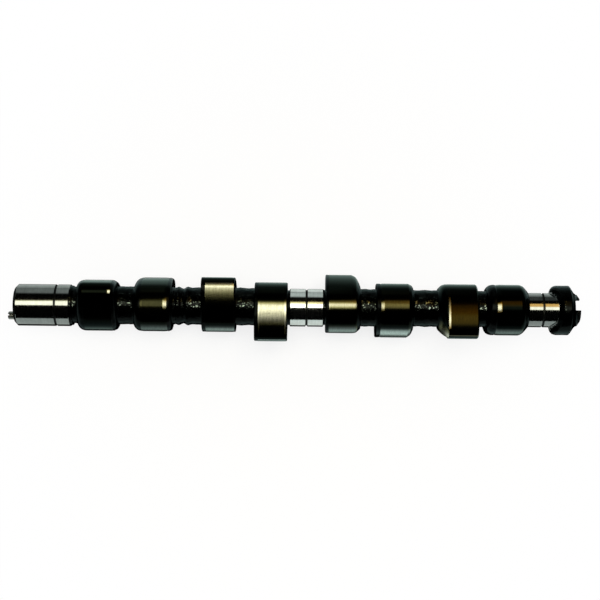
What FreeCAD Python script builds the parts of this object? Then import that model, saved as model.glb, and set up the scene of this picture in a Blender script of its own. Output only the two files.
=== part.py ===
import FreeCAD, Part

import math
import os
from collections import namedtuple

# Overhead camshaft for a four-cylinder engine with two valves to each cylinder. It is one iron
# casting with three ground bearing journals, eight ground cam lobes, a tail flange and a
# slotted boss that drives a pump. A slotted spring pin in its front face locates the sprocket.
# Millimetres. The shaft is first built along +X from its front face, with its axis on the X
# axis, and is laid down on its lobes at the end.
# Angles about the shaft are in degrees: 0 is straight up as the shaft lies, 90 is towards -Y.

Vector = FreeCAD.Vector
AXIS = Vector(1, 0, 0)

# Cam law: three-arc lobes for flat followers
BASE_RADIUS = 19.0
VALVE_LIFT = 9.0
NOSE_RADIUS = 8.0
HALF_DURATION = 72.0

# Valve timing
FIRING_ORDER = (1, 3, 4, 2)
LOBE_SEPARATION = 106.0
FIRST_NOSE_ANGLE = -18.5

# Front bearing journal, on the sprocket end
FRONT_JOURNAL_RADIUS = 15.8
FRONT_JOURNAL_LENGTH = 43.8
FRONT_CHAMFER = 2.2
FRONT_GROOVE_PLACE = 31.4
FRONT_SHOULDER_LENGTH = 2.0
FRONT_SHOULDER_DROP = 0.7

# Middle bearing journal, with a groove at its middle
MIDDLE_JOURNAL_RADIUS = 14.3
MIDDLE_JOURNAL_LENGTH = 25.4

# Rear bearing journal, with its groove nearer to the flange
REAR_JOURNAL_RADIUS = 13.0
REAR_JOURNAL_LENGTH = 16.4
REAR_GROOVE_PLACE = 11.2

# Oil grooves round the journals, and the small chamfer at each journal's edges
GROOVE_WIDTH = 1.5
GROOVE_DEPTH = 0.8
JOURNAL_CHAMFER = 0.5

# Cast flange behind the rear journal, with a crowned front bevel and a plain rear bevel
FLANGE_RADIUS = 18.8
FLANGE_LENGTH = 20.0
FLANGE_FACE_RADIUS = 13.9
FLANGE_FRONT_BEVEL = 5.0
FLANGE_CROWN_LENGTH = 2.0
FLANGE_CROWN_DROP = 0.8
FLANGE_REAR_BEVEL = 5.2

# The flange's front is as the mould leaves it: its two halves draw at this angle about the
# shaft, and its face leans back by the draft towards each of them
MOULD_DRAW_ANGLE = 11.0
FLANGE_DRAFT = 25.6

# Tail boss with the offset slot that drives the pump
BOSS_RADIUS = 12.0
BOSS_LENGTH = 3.2
BOSS_CHAMFER_LENGTH = 2.2
BOSS_CHAMFER_DROP = 3.0
SLOT_WIDTH = 7.2
SLOT_DEPTH = 5.0
SLOT_OFFSET = 3.8
SLOT_ANGLE = 11.0
SLOT_MOUTH_CHAMFER = 1.6

# Cast barrel between the lobes, a little off the ground axis as castings are
BARREL_OFFSET = 0.4
BARREL_OFFSET_ANGLE = -79.0
NECK_FILLET = 0.6
NECK_OVERLAP = 2.0
WAIST_DEPTH = 0.9
WAIST_HALF_WIDTH = 2.4
WAIST_PLACE = 8.2

# Tapped hole for the sprocket's bolt, drilled to its core size
BOLT_CORE_RADIUS = 4.25
BOLT_HOLE_DEPTH = 27.0
BOLT_COUNTERSINK = 1.0
DRILL_POINT_ANGLE = 118.0

# Slotted spring pin that locates the sprocket
PIN_RADIUS = 3.0
PIN_WALL = 1.2
PIN_SLIT = 1.2
PIN_LENGTH = 16.0
PIN_STANDS_OUT = 4.9
PIN_CHAMFER = 0.6
PIN_CIRCLE_RADIUS = 9.0
PIN_ANGLE = 74.0

# Shoulders of the lobes, from the end face inwards: how far in, how much smaller the base
# circle is there, and what share of the lift is left there
SQUARE = ((0.0, 0.9, 1.0), (0.8, 0.0, 1.0))
SQUARE_EASED = ((0.0, 2.4, 0.95), (0.8, 0.9, 1.0), (3.2, 0.0, 1.0))
ROUNDED = ((0.0, 3.4, 0.5), (1.3, 1.4, 0.82), (3.9, 0.0, 1.0))
ROUNDED_LONG = ((0.0, 3.4, 0.45), (1.1, 1.9, 0.74), (3.0, 0.6, 0.93), (5.6, 0.0, 1.0))
ROUNDED_NOSE = ((0.0, 3.4, 0.1), (1.5, 1.9, 0.5), (3.5, 0.4, 0.8), (6.6, 0.0, 1.0))
NOSE_BEVEL = ((0.0, 3.4, 0.02), (2.3, 1.2, 0.08), (5.0, 0.2, 0.5), (8.0, 0.0, 1.0))
REAR_BEVEL = ((0.0, 5.2, 0.02), (3.2, 1.6, 0.6), (5.0, 0.4, 0.9), (6.4, 0.0, 1.0))

# The row of lobes, front to rear. Each neck is the piece of barrel in front of its lobe.
Lobe = namedtuple("Lobe", "cylinder valve neck_length neck_radius length front rear")
LOBES = (
    Lobe(1, "exhaust", 4.1, 13.8, 30.5, ROUNDED_LONG, ROUNDED),
    Lobe(1, "intake", 11.8, 14.4, 28.8, ROUNDED_LONG, SQUARE_EASED),
    Lobe(2, "intake", 22.5, 14.1, 25.5, SQUARE, SQUARE),
    Lobe(2, "exhaust", 14.2, 14.1, 24.9, SQUARE, SQUARE),
    Lobe(3, "exhaust", 1.6, 13.2, 26.4, SQUARE, ROUNDED_NOSE),
    Lobe(3, "intake", 11.8, 14.1, 28.1, SQUARE, ROUNDED),
    Lobe(4, "intake", 18.9, 13.8, 29.4, NOSE_BEVEL, SQUARE_EASED),
    Lobe(4, "exhaust", 6.6, 13.6, 31.8, ROUNDED_LONG, REAR_BEVEL),
)
WAIST_LOBE = 2
LOBES_BEFORE_MIDDLE_JOURNAL = 4
MIDDLE_RELIEF_LENGTH = 1.7
MIDDLE_RELIEF_RADIUS = 13.2

# The two lobes that carry the shaft where it lies on a flat surface
RESTING_LOBES = (1, 7)


def about_shaft(x, radius, angle):
    """A point at a distance from the shaft's axis, in the direction of an angle."""
    a = math.radians(angle)
    return Vector(x, -radius * math.sin(a), radius * math.cos(a))


def turned(outline, offset=0.0, offset_angle=0.0):
    """A solid turned about the shaft's axis from its (x, radius) outline."""
    points = [Vector(outline[0][0], 0, 0)]
    points += [Vector(x, 0, radius) for x, radius in outline]
    points += [Vector(outline[-1][0], 0, 0)]
    face = Part.Face(Part.makePolygon(points + points[:1]))
    solid = face.revolve(Vector(0, 0, 0), AXIS, 360)
    solid.translate(about_shaft(0, offset, offset_angle))
    return solid


def flank_offset():
    """How far the centre of a flank's arc lies behind the shaft's axis."""
    nose_drop = BASE_RADIUS - NOSE_RADIUS
    nose_centre = nose_drop + VALVE_LIFT
    lean = math.cos(math.radians(HALF_DURATION))
    return (nose_centre ** 2 - nose_drop ** 2) / (2 * (nose_drop - nose_centre * lean))


def nose_half_angle():
    """The angle from the nose at which its arc meets the flank's arc."""
    behind = flank_offset()
    half = math.radians(HALF_DURATION)
    nose_centre = BASE_RADIUS - NOSE_RADIUS + VALVE_LIFT
    return math.degrees(math.atan2(behind * math.sin(half), nose_centre + behind * math.cos(half)))


def lift_at(angle_from_nose):
    """The flat follower's lift with the nose turned away from it by this angle."""
    turn = abs((angle_from_nose + 180) % 360 - 180)
    if turn >= HALF_DURATION:
        return 0.0
    if turn <= nose_half_angle():
        nose_centre = BASE_RADIUS - NOSE_RADIUS + VALVE_LIFT
        return VALVE_LIFT - nose_centre * (1 - math.cos(math.radians(turn)))
    return flank_offset() * (1 - math.cos(math.radians(HALF_DURATION - turn)))


def nose_angle(lobe):
    """Each cylinder follows the one before it in the firing order by a quarter of a turn."""
    angle = FIRST_NOSE_ANGLE - 360 / len(FIRING_ORDER) * FIRING_ORDER.index(lobe.cylinder)
    if lobe.valve == "intake":
        angle -= LOBE_SEPARATION
    return angle


def lobe_section(x, angle, base_drop, lift_share):
    """The four tangent arcs of a lobe, with a smaller base circle and a share of the lift."""
    base = BASE_RADIUS - base_drop
    half = HALF_DURATION
    meet = nose_half_angle()
    nose_drop = (BASE_RADIUS - NOSE_RADIUS) * lift_share
    behind = flank_offset() * lift_share
    nose_centre = (BASE_RADIUS - NOSE_RADIUS + VALVE_LIFT) * lift_share

    def on_base(turn):
        return about_shaft(x, base, angle + turn)

    def on_nose(turn):
        return about_shaft(x, nose_centre, angle) + about_shaft(0, base - nose_drop, angle + turn)

    def on_flank(turn, side):
        centre = about_shaft(x, -behind, angle + side * half)
        return centre + about_shaft(0, base + behind, angle + side * turn)

    middle = (half + meet) / 2
    arcs = (
        Part.Arc(on_base(half), on_base(180), on_base(-half)),
        Part.Arc(on_base(-half), on_flank(middle, -1), on_nose(-meet)),
        Part.Arc(on_nose(-meet), on_nose(0), on_nose(meet)),
        Part.Arc(on_nose(meet), on_flank(middle, 1), on_base(half)),
    )
    return Part.Wire([arc.toShape() for arc in arcs])


def cam_lobe(lobe, x):
    """A cast lobe with its shoulders, from its front face at x."""
    angle = nose_angle(lobe)
    sections = [(x + inward, drop, share) for inward, drop, share in lobe.front]
    rear_face = x + lobe.length
    sections += [(rear_face - inward, drop, share) for inward, drop, share in reversed(lobe.rear)]
    wires = [lobe_section(place, angle, drop, share) for place, drop, share in sections]
    return Part.makeLoft(wires, True, True)


def full_profile_starts(lobe, x):
    """Where the ground profile of a lobe starts, behind its front shoulder."""
    return x + lobe.front[-1][0]


def neck(x, length, radius):
    """A piece of cast barrel with a fillet to the face at each end, let into both."""
    fillet = min(NECK_FILLET, length / 3)
    outline = [(x - NECK_OVERLAP, radius)]
    for face, inwards in ((x, 1), (x + length, -1)):
        lip = [(face, radius + fillet), (face + inwards * fillet, radius)]
        if inwards > 0:
            outline += [(face, radius)] + lip
        else:
            outline += list(reversed(lip)) + [(face, radius)]
    outline.append((x + length + NECK_OVERLAP, radius))
    return turned(outline, BARREL_OFFSET, BARREL_OFFSET_ANGLE)


def waist_cutter(x, radius):
    """A rounded ring that takes the shallow waist out of the longest neck."""
    sag = WAIST_DEPTH
    ring_radius = (WAIST_HALF_WIDTH ** 2 + sag ** 2) / (2 * sag)
    centre = about_shaft(x, 0, 0) + about_shaft(0, BARREL_OFFSET, BARREL_OFFSET_ANGLE)
    return Part.makeTorus(radius - sag + ring_radius, ring_radius, centre, AXIS)


def groove(outline, place, radius):
    """Adds a square groove to a journal's outline."""
    half = GROOVE_WIDTH / 2
    bottom = radius - GROOVE_DEPTH
    outline += [(place - half, radius), (place - half, bottom)]
    outline += [(place + half, bottom), (place + half, radius)]


def front_journal():
    """The journal on the sprocket end, with its big front chamfer and its rear shoulder."""
    radius = FRONT_JOURNAL_RADIUS
    shoulder = radius - FRONT_SHOULDER_DROP
    shoulder_start = FRONT_JOURNAL_LENGTH - FRONT_SHOULDER_LENGTH
    outline = [(0, radius - FRONT_CHAMFER), (FRONT_CHAMFER, radius)]
    groove(outline, FRONT_GROOVE_PLACE, radius)
    outline += [(shoulder_start, radius), (shoulder_start + FRONT_SHOULDER_DROP / 2, shoulder)]
    outline += [(FRONT_JOURNAL_LENGTH, shoulder)]
    return turned(outline)


def middle_journal(x):
    """The journal between the second and third cylinders."""
    radius = MIDDLE_JOURNAL_RADIUS
    end = x + MIDDLE_JOURNAL_LENGTH
    outline = [(x, radius - JOURNAL_CHAMFER), (x + JOURNAL_CHAMFER, radius)]
    groove(outline, (x + end) / 2, radius)
    outline += [(end - JOURNAL_CHAMFER, radius), (end, radius - JOURNAL_CHAMFER)]
    return turned(outline)


def rear_end(x):
    """The rear journal, the flange and the tail boss, turned in one."""
    flange = x + REAR_JOURNAL_LENGTH
    boss = flange + FLANGE_LENGTH
    tip = boss + BOSS_LENGTH
    outline = [(x - NECK_OVERLAP, REAR_JOURNAL_RADIUS)]
    groove(outline, x + REAR_GROOVE_PLACE, REAR_JOURNAL_RADIUS)
    outline += [(flange, REAR_JOURNAL_RADIUS), (flange, FLANGE_FACE_RADIUS)]
    crown = flange + FLANGE_FRONT_BEVEL
    outline += [(crown - FLANGE_CROWN_LENGTH, FLANGE_RADIUS - FLANGE_CROWN_DROP)]
    outline += [(crown, FLANGE_RADIUS)]
    outline += [(boss - FLANGE_REAR_BEVEL, FLANGE_RADIUS), (boss, BOSS_RADIUS)]
    outline += [(tip - BOSS_CHAMFER_LENGTH, BOSS_RADIUS), (tip, BOSS_RADIUS - BOSS_CHAMFER_DROP)]
    return turned(outline)


def flange_draft(flange):
    """What the draft takes off the flange's front, round the rear journal."""
    reach = 2 * FLANGE_RADIUS
    back = flange + reach * math.tan(math.radians(FLANGE_DRAFT))
    front = flange - NECK_OVERLAP
    corners = ((front, -reach), (back, -reach), (flange, 0), (back, reach), (front, reach))
    points = [Vector(x, -reach, z) for x, z in corners]
    face = Part.Face(Part.makePolygon(points + points[:1]))
    wedges = face.extrude(Vector(0, 2 * reach, 0))
    wedges.rotate(Vector(0, 0, 0), AXIS, MOULD_DRAW_ANGLE)
    journal = Part.makeCylinder(REAR_JOURNAL_RADIUS, 2 * reach, Vector(front - reach, 0, 0), AXIS)
    return wedges.cut(journal)


def drive_slot(tip):
    """The slot across the tail, off its centre, with one edge of its mouth chamfered."""
    reach = FLANGE_RADIUS
    far = SLOT_OFFSET + SLOT_WIDTH / 2
    near = SLOT_OFFSET - SLOT_WIDTH / 2
    mouth = tip - SLOT_MOUTH_CHAMFER
    past = SLOT_MOUTH_CHAMFER
    corners = (
        (tip - SLOT_DEPTH, near),
        (tip + past, near),
        (tip + past, far + 2 * SLOT_MOUTH_CHAMFER),
        (mouth, far),
        (tip - SLOT_DEPTH, far),
    )
    points = [Vector(x, y, -reach) for x, y in corners]
    face = Part.Face(Part.makePolygon(points + points[:1]))
    slot = face.extrude(Vector(0, 0, 2 * reach))
    slot.rotate(Vector(0, 0, 0), AXIS, SLOT_ANGLE)
    return slot


def bolt_hole():
    """The drilled and countersunk hole for the sprocket's bolt."""
    point = BOLT_CORE_RADIUS / math.tan(math.radians(DRILL_POINT_ANGLE / 2))
    mouth = BOLT_CORE_RADIUS + BOLT_COUNTERSINK
    outline = [(0, mouth), (BOLT_COUNTERSINK, BOLT_CORE_RADIUS)]
    outline += [(BOLT_HOLE_DEPTH, BOLT_CORE_RADIUS), (BOLT_HOLE_DEPTH + point, 0)]
    return turned(outline)


def pin_place():
    """The centre of the locating pin on the front face."""
    return about_shaft(0, PIN_CIRCLE_RADIUS, PIN_ANGLE)


def casting():
    """The whole camshaft in one piece, and the place of each lobe's ground profile."""
    solids = [front_journal()]
    cutters = [bolt_hole()]
    starts = []
    x = FRONT_JOURNAL_LENGTH
    for number, lobe in enumerate(LOBES):
        if number == LOBES_BEFORE_MIDDLE_JOURNAL:
            solids.append(neck(x, MIDDLE_RELIEF_LENGTH, MIDDLE_RELIEF_RADIUS))
            x += MIDDLE_RELIEF_LENGTH
            solids.append(middle_journal(x))
            x += MIDDLE_JOURNAL_LENGTH
        solids.append(neck(x, lobe.neck_length, lobe.neck_radius))
        if number == WAIST_LOBE:
            cutters.append(waist_cutter(x + WAIST_PLACE, lobe.neck_radius))
        x += lobe.neck_length
        solids.append(cam_lobe(lobe, x))
        starts.append(full_profile_starts(lobe, x))
        x += lobe.length
    solids.append(rear_end(x))
    flange = x + REAR_JOURNAL_LENGTH
    tip = flange + FLANGE_LENGTH + BOSS_LENGTH
    cutters.append(flange_draft(flange))
    cutters.append(drive_slot(tip))
    pressed_length = PIN_LENGTH - PIN_STANDS_OUT
    pin_hole = Part.makeCylinder(PIN_RADIUS, pressed_length, pin_place(), AXIS)
    cutters.append(pin_hole)
    body = solids[0].fuse(solids[1:]).cut(cutters).removeSplitter()
    return body.Solids[0], starts


def locating_pin():
    """The slotted spring pin, rolled from strip and pressed into the front face."""
    start = -PIN_STANDS_OUT
    bore = PIN_RADIUS - PIN_WALL
    outline = [(start, PIN_RADIUS - PIN_CHAMFER), (start + PIN_CHAMFER, PIN_RADIUS)]
    outline += [(start + PIN_LENGTH - PIN_CHAMFER, PIN_RADIUS)]
    outline += [(start + PIN_LENGTH, PIN_RADIUS - PIN_CHAMFER)]
    tube = turned(outline)
    hollow = Part.makeCylinder(bore, PIN_LENGTH, Vector(start, 0, 0), AXIS)
    slit = Part.makeBox(PIN_LENGTH, PIN_SLIT, PIN_RADIUS, Vector(start, -PIN_SLIT / 2, 0))
    pin = tube.cut([hollow, slit])
    pin.translate(pin_place())
    return pin


def lie_down(shapes, starts):
    """Turns the shaft to the slope at which it lies on two lobes, with the floor at z = 0."""
    front, rear = RESTING_LOBES
    reach = [BASE_RADIUS + lift_at(nose_angle(LOBES[n]) - 180) for n in RESTING_LOBES]
    slope = math.degrees(math.atan2(reach[1] - reach[0], starts[rear] - starts[front]))
    for shape in shapes:
        shape.rotate(Vector(0, 0, 0), Vector(0, 1, 0), -slope)
    box = shapes[0].optimalBoundingBox(False)
    for shape in shapes[1:]:
        box.add(shape.optimalBoundingBox(False))
    for shape in shapes:
        shape.translate(Vector(-box.Center.x, -box.Center.y, -box.ZMin))
    return slope, box


def main():
    os.makedirs("parts", exist_ok=True)
    camshaft, starts = casting()
    pin = locating_pin()
    slope, box = lie_down([camshaft, pin], starts)
    camshaft.exportStep("parts/camshaft.step")
    pin.exportStep("parts/locating_pin.step")
    print("camshaft", camshaft.isValid(), "volume", round(camshaft.Volume), "faces", len(camshaft.Faces))
    print("locating pin", pin.isValid(), "volume", round(pin.Volume, 1))
    print("slope at rest", round(slope, 3), "degrees")
    print("size", round(box.XLength, 2), round(box.YLength, 2), round(box.ZLength, 2))
    print("front face centre", [round(-c, 3) for c in (box.Center.x, box.Center.y, box.ZMin)])


main()
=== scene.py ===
# %% [markdown]
# # A cast camshaft on a pale studio floor
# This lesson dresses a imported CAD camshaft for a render. The CAD model gives the sizes and the
# place of everything. Blender adds what the eye looks for: the rough casting, the bright ground
# bearings, the dark cams and the light of the studio.

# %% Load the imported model
import math
from collections import namedtuple

import bmesh
import bpy
import numpy as np
from mathutils import Matrix, Vector, noise


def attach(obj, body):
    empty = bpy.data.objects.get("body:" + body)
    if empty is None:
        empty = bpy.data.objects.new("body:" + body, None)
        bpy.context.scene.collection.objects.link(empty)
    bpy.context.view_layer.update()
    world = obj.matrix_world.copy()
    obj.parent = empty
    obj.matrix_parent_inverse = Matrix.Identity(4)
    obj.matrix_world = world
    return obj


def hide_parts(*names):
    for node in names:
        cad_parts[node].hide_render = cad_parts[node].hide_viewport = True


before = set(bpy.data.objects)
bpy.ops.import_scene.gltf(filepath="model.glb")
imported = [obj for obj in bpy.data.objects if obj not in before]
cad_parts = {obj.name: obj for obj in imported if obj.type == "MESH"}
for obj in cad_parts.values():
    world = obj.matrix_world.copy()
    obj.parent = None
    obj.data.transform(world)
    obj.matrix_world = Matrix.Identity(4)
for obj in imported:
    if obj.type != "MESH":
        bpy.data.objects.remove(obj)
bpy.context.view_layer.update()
print("nodes:", sorted(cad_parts))

# %% [markdown]
# ## Where the shaft lies
# The camshaft can't stand, so it lies on two of its cams and its axis rises a little towards the
# tail. It is far easier to build it along its own axis, in its own coordinates, and to let the
# object's matrix lay it down. The same matrix gives the materials a coordinate along the shaft.

# %% The shaft's own frame
MM = 0.001
REST_SLOPE = math.radians(1.46)
FRONT_FACE = Vector((-211.235, 0.0, 17.744)) * MM
SHAFT_LENGTH = 427.4

shaft_frame = Matrix.Translation(FRONT_FACE) @ Matrix.Rotation(-REST_SLOPE, 4, "Y")
print("tail end of the axis, in metres:", shaft_frame @ Vector((SHAFT_LENGTH * MM, 0, 0)))

# %% [markdown]
# ## The camera
# The photographer looked almost straight down, square to the shaft, with a long lens. So the
# camera is placed in the shaft's frame, 79 degrees up from the front, about a metre away. The
# picture hangs a little down to the right, which is a small roll of the camera.

# %% Place the camera
CAMERA_ELEVATION = math.radians(79.0)
CAMERA_DISTANCE = 1003.0
CAMERA_ROLL = math.radians(0.6)
IMAGE_CENTRE_ALONG = 215.5
IMAGE_CENTRE_ABOVE = 5.85
LENS = 79.2

up = math.sin(CAMERA_ELEVATION)
level = math.cos(CAMERA_ELEVATION)
towards_camera = Vector((0, -level, up))
image_up = Vector((0, up, level))
target = Vector((IMAGE_CENTRE_ALONG, 0, 0)) + image_up * IMAGE_CENTRE_ABOVE


def add_object(name, data):
    """A new object in the scene, made from its mesh, lamp or camera."""
    made = bpy.data.objects.new(name, data)
    bpy.context.scene.collection.objects.link(made)
    return made


camera_data = bpy.data.cameras.new("photo_camera")
camera_data.sensor_width = 36.0
camera_data.lens = LENS
camera = add_object("photo_camera", camera_data)
looking = Matrix((Vector((1, 0, 0)), image_up, towards_camera)).transposed().to_4x4()
place = Matrix.Translation((target + towards_camera * CAMERA_DISTANCE) * MM)
camera.matrix_world = shaft_frame @ place @ looking @ Matrix.Rotation(CAMERA_ROLL, 4, "Z")
bpy.context.scene.camera = camera
print("camera at", camera.matrix_world.translation)

# %% [markdown]
# ## The cam law
# Each cam pushes a flat follower, and is made of three kinds of arc that run into one another: a
# base circle, two flanks and a nose. A curve like that is easiest to write by its support
# function: for every direction of the surface's normal it gives how far the surface reaches. The
# follower's lift added to the base circle is exactly that function.

# %% Lift of the follower and its slope
BASE_RADIUS = 19.0
VALVE_LIFT = 9.0
NOSE_RADIUS = 8.0
HALF_DURATION = math.radians(72.0)

nose_centre = BASE_RADIUS - NOSE_RADIUS + VALVE_LIFT
nose_drop = BASE_RADIUS - NOSE_RADIUS
flank_behind = (nose_centre ** 2 - nose_drop ** 2) / 2
flank_behind /= nose_drop - nose_centre * math.cos(HALF_DURATION)
nose_half = math.atan2(
    flank_behind * math.sin(HALF_DURATION),
    nose_centre + flank_behind * math.cos(HALF_DURATION),
)


def lift_and_slope(turn):
    """Lift and its slope for an array of angles from the nose, in radians."""
    turn = (turn + math.pi) % (2 * math.pi) - math.pi
    side = np.sign(turn)
    turn = np.abs(turn)
    on_nose = VALVE_LIFT - nose_centre * (1 - np.cos(turn))
    on_flank = flank_behind * (1 - np.cos(HALF_DURATION - turn))
    lift = np.where(turn < nose_half, on_nose, on_flank)
    slope = np.where(
        turn < nose_half,
        -nose_centre * np.sin(turn),
        -flank_behind * np.sin(HALF_DURATION - turn),
    )
    resting = turn >= HALF_DURATION
    return np.where(resting, 0.0, lift), np.where(resting, 0.0, slope * side)


print("nose and flank meet at", round(math.degrees(nose_half), 1), "degrees")

# %% [markdown]
# ## A skin of rings
# A turned or cast shaft can be seen as a stack of closed rings. Every ring here is one cam
# section: its base circle, its share of the lift and the direction of its nose. A journal is a
# ring with no lift. All rings share the same surface directions, so neighbours join up without
# twisting, and one list of rings is the whole casting. A sharp corner is two rings that lie close
# together, and a very small ring closes an end.

# %% What a ring is
RING_POINTS = 152
CORNER = 0.1
BREAK = 0.15
CENTRE = 0.05
BARREL_OFFSET = 0.4
BARREL_DIRECTION = math.radians(-79.0)
CAST = 0
STEEL = 1
TRACK = 2
TURNED = 3

Ring = namedtuple("Ring", "along base share nose skin rough off shine tint")
rings = []
normals = np.linspace(0, 2 * math.pi, RING_POINTS, endpoint=False)
outward = np.stack([-np.sin(normals), np.cos(normals)], axis=1)
sideways = np.stack([-np.cos(normals), -np.sin(normals)], axis=1)
barrel_shift = np.array([-math.sin(BARREL_DIRECTION), math.cos(BARREL_DIRECTION)])


def ring(along, base, skin, share=0.0, nose=0.0, rough=0.0, off=0.0, shine=0.0, tint=0.0):
    """Adds one ring. The skin is the finish of the surface between it and the next ring.

    The base, skin, rough and shine are one value, or an array with a value for each point.
    """
    rings.append(Ring(along, base, share, math.radians(nose), skin, rough, off, shine, tint))


SAND_LAYERS = ((0.9, 0.16, (0, 0, 0)), (0.7, 0.45, (31, 7, 3)), (0.45, 1.1, (5, 43, 11)))
SAND_HEIGHT = 0.16


def cast_height(x, y, z):
    """How far the sand mould's roughness pushes the surface out, from about -1 to 1.

    Each layer has its share, how many swells it has to a millimetre, and a shift of its own.
    """
    place = Vector((x, y, z))
    return sum(share * noise.noise(place * swells + Vector(shift)) for share, swells, shift in SAND_LAYERS)


PARTING_WIDTH = 1.1
PARTING_HEIGHT = 0.28
PARTING_SIDES = (math.radians(-69.0), math.radians(111.0))


def parting_line(base):
    """The low ridge that the joint between the halves of the mould leaves, for each point."""
    height = np.zeros(RING_POINTS)
    for side in PARTING_SIDES:
        away = (normals - side + math.pi) % (2 * math.pi) - math.pi
        height += PARTING_HEIGHT * np.exp(-((away * base / PARTING_WIDTH) ** 2))
    return height


def ring_points(item):
    """The points of a ring, in millimetres, in the shaft's own frame."""
    lift, slope = lift_and_slope(normals - item.nose)
    reach = item.base + item.share * lift
    points = outward * reach[:, None] + sideways * (item.share * slope)[:, None]
    points = points + barrel_shift * (BARREL_OFFSET * item.off)
    if np.max(item.rough) > 0:
        bumps = [cast_height(item.along, y, z) for y, z in points]
        push = item.rough * (np.array(bumps) * SAND_HEIGHT + parting_line(item.base))
        points = points + outward * push[:, None]
    return points


print("a ring has", RING_POINTS, "points")

# %% [markdown]
# ## The front end and its journal
# The sprocket end is the first thing an engine builder looks at. It has a tapped hole for the
# bolt, a flat face and a bearing journal with one oil groove. The hole starts the list of rings
# from the inside out, so hole, face and journal are one surface, as they are on the real piece.

# %% The tapped hole and the front face
BOLT_CORE_RADIUS = 4.25
BOLT_HOLE_DEPTH = 27.0
DRILL_POINT_LENGTH = 2.55
COUNTERSINK = 1.0
THREAD_PITCH = 1.5
THREAD_DEPTH = 0.75
THREAD_TURNS = 9
STEPS_IN_A_TURN = 8
THREAD_RUN_IN = 0.15
threaded_rings = []

ring(BOLT_HOLE_DEPTH + DRILL_POINT_LENGTH, CENTRE, TURNED)
ring(BOLT_HOLE_DEPTH, BOLT_CORE_RADIUS, TURNED)
for step in range(THREAD_TURNS * STEPS_IN_A_TURN, -1, -1):
    threaded_rings.append(len(rings))
    place = COUNTERSINK + THREAD_RUN_IN + step * THREAD_PITCH / STEPS_IN_A_TURN
    ring(place, BOLT_CORE_RADIUS, TURNED)
ring(COUNTERSINK, BOLT_CORE_RADIUS + CORNER, TURNED)
ring(CORNER, BOLT_CORE_RADIUS + COUNTERSINK, TURNED)
ring(0.0, BOLT_CORE_RADIUS + COUNTERSINK + CORNER, TURNED)
print("rings of the bolt hole:", len(rings))

# %% The front journal
GROOVE_WIDTH = 1.5
GROOVE_DEPTH = 0.8
EDGE = 0.12


def groove(place, radius, shine):
    """An oil groove with its edges just broken."""
    start = place - GROOVE_WIDTH / 2
    end = place + GROOVE_WIDTH / 2
    bottom = radius - GROOVE_DEPTH
    ring(start - EDGE, radius, TURNED, shine=shine)
    ring(start, radius - EDGE, TURNED)
    ring(start + CORNER, bottom, TURNED)
    ring(end - CORNER, bottom, TURNED)
    ring(end, radius - EDGE, TURNED)
    ring(end + EDGE, radius, STEEL, shine=shine)


FRONT_RADIUS = 15.8
FRONT_SHINE = 0.24
FRONT_CHAMFER = 2.2
FRONT_GROOVE_AT = 31.4
FRONT_END = 41.6
FIRST_NECK_AT = 43.8
FRONT_CAST_STEP = ((42.2, 0.7, 0.2), (43.4, 0.8, 0.3), (FIRST_NECK_AT, 1.1, 0.3))

ring(0.0, FRONT_RADIUS - FRONT_CHAMFER - BREAK, TURNED)
ring(BREAK, FRONT_RADIUS - FRONT_CHAMFER, TURNED)
ring(FRONT_CHAMFER - CORNER, FRONT_RADIUS - EDGE, STEEL, shine=FRONT_SHINE)
ring(FRONT_CHAMFER + BREAK, FRONT_RADIUS, STEEL, shine=FRONT_SHINE)
groove(FRONT_GROOVE_AT, FRONT_RADIUS, FRONT_SHINE)
ring(FRONT_END, FRONT_RADIUS, STEEL, shine=FRONT_SHINE)
ring(FRONT_END + 2 * CORNER, FRONT_RADIUS - CORNER, CAST, shine=FRONT_SHINE)
for place, drop, rough in FRONT_CAST_STEP:
    ring(place, FRONT_RADIUS - drop, CAST, rough=rough, shine=0.7)
print("rings so far:", len(rings))

# %% [markdown]
# ## The lobes and the barrel between them
# A cam is cast a little wider than the band that the grinding wheel touches, so every lobe has
# a crisp ground track between two rough shoulders. The shoulders are given as a few steps: how
# far in, how much smaller the base circle is, and how much of the lift is left. A smooth curve
# through the steps gives the rounding of the sand mould.

# %% Shapes of the shoulders
SQUARE = ((0.0, 0.9, 1.0), (0.3, 0.3, 1.0), (0.8, 0.0, 1.0))
SQUARE_EASED = ((0.0, 2.4, 0.95), (0.8, 0.9, 1.0), (3.2, 0.0, 1.0))
SQUARE_CRISP = ((0.0, 2.4, 0.95), (0.35, 0.9, 1.0), (1.3, 0.0, 1.0))
ROUNDED = ((0.0, 3.4, 0.5), (1.3, 1.4, 0.82), (3.9, 0.0, 1.0))
ROUNDED_LONG = ((0.0, 3.4, 0.45), (1.1, 1.9, 0.74), (3.0, 0.6, 0.93), (5.6, 0.0, 1.0))
ROUNDED_NOSE = ((0.0, 3.4, 0.1), (1.5, 1.9, 0.5), (3.5, 0.4, 0.8), (6.6, 0.0, 1.0))
NOSE_BEVEL = ((0.0, 3.4, 0.02), (2.3, 1.2, 0.08), (5.0, 0.2, 0.5), (8.0, 0.0, 1.0))
REAR_BEVEL = ((0.0, 5.2, 0.02), (3.2, 1.6, 0.6), (5.0, 0.4, 0.9), (6.4, 0.0, 1.0))

Lobe = namedtuple("Lobe", "nose neck_length neck_radius length front rear track ease edges tint shine")
GROUND_DROP = 0.7
CAST_DROP = 0.1
SHOULDER_PIECES = 4
CLIMB_PARTS = (0.15, 0.4, 0.65, 0.88)
SIDE_DRAFT = 0.2
FLUSH_PART = 0.9
NECK_FILLET = 0.7
FILLET_SAG = 0.3
NECK_SPACING = 0.75
BAND_SPACING = 0.8

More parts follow.
